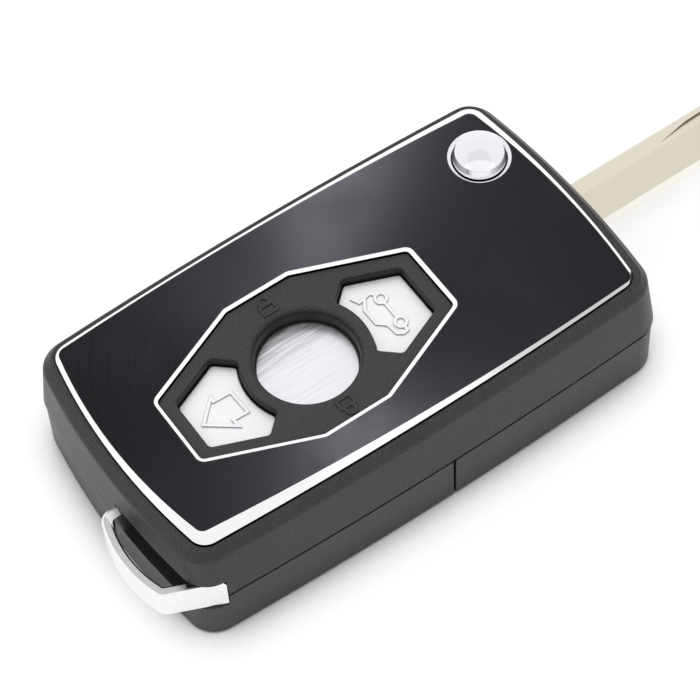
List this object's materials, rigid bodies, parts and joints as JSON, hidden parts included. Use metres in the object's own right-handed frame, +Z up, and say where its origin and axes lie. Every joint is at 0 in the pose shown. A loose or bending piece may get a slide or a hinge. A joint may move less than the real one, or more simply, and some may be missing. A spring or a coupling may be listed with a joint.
{
  "type": "flip key remote shell",
  "caption": "Folding car key remote: black case with bright buttons, blade that swings out at a push button, lift-off battery cover and metal loop for a key ring.",
  "frame": {"origin": "middle of the case's flat back", "axes": "+X to the blade end, +Y to the side into which the blade folds, +Z up through the buttons"},
  "size_m": [0.121, 0.0412, 0.0212],
  "materials": {
    "case_plastic": "matte, fine grained",
    "face_metal": "satin black with a bright cut edge",
    "bezel_plastic": "matte",
    "button_satin": "satin silver",
    "disc_metal": "brushed along X",
    "glue": "clear dark bead",
    "button_chrome": "polished",
    "loop_metal": "satin",
    "blade_metal": "nickel plated",
    "hub_metal": "zinc casting, grey",
    "spring_steel": "bright",
    "pad_rubber": "matte",
    "board": "solder mask",
    "switch_metal": "satin",
    "chip": "moulded",
    "coil_copper": "enamelled wire",
    "cell_steel": "satin",
    "capsule_glass": "clear"
  },
  "bodies": {
    "case": {"front_shell": "case_plastic", "face_plate": "face_metal", "button_bezel": "bezel_plastic", "rear_shell": "case_plastic", "key_loop": "loop_metal", "button_pad": "pad_rubber", "circuit_board": "board", "tact_switches": "switch_metal", "control_chip": "chip", "crystal": "switch_metal", "antenna_coil": "coil_copper", "coin_cell": "cell_steel", "cell_clip": "cell_steel", "cell_spring": "cell_steel", "transponder": "capsule_glass", "case_screws": "spring_steel"},
    "blade": {"blade_hub": "hub_metal", "key_blade": "blade_metal", "blade_pin": "spring_steel", "flip_spring": "spring_steel"},
    "release": {"release_button": "button_chrome"},
    "unlock": {"unlock_button": "button_satin"},
    "boot": {"boot_button": "button_satin"},
    "lock": {"lock_button": "bezel_plastic", "emblem_disc": "disc_metal", "disc_glue": "glue"},
    "cover": {"battery_cover": "case_plastic"}
  },
  "joints": [
    {"name": "blade_fold", "type": "hinge", "parent": "case", "child": "blade", "pos_m": [0.0281, 0.0097, 0], "axis": [0, 0, 1], "range_deg": [0, 180], "stiffness_Nm_per_rad": 0.015, "springref_deg": -57.3},
    {"name": "release_press", "type": "slide", "parent": "blade", "child": "release", "axis": [0, 0, -1], "range_m": [0, 0.0018], "stiffness_N_per_m": 1100, "springref_m": -0.0005, "deforming": ["flip_spring"]},
    {"name": "unlock_press", "type": "slide", "parent": "case", "child": "unlock", "axis": [0, 0, -1], "range_m": [0, 0.00035], "stiffness_N_per_m": 1000},
    {"name": "lock_press", "type": "slide", "parent": "case", "child": "lock", "axis": [0, 0, -1], "range_m": [0, 0.00035], "stiffness_N_per_m": 1000},
    {"name": "boot_press", "type": "slide", "parent": "case", "child": "boot", "axis": [0, 0, -1], "range_m": [0, 0.00035], "stiffness_N_per_m": 1000},
    {"name": "cover_lift", "type": "slide", "parent": "case", "child": "cover", "axis": [0, 0, -1], "range_m": [0, 0.012]}
  ]
}
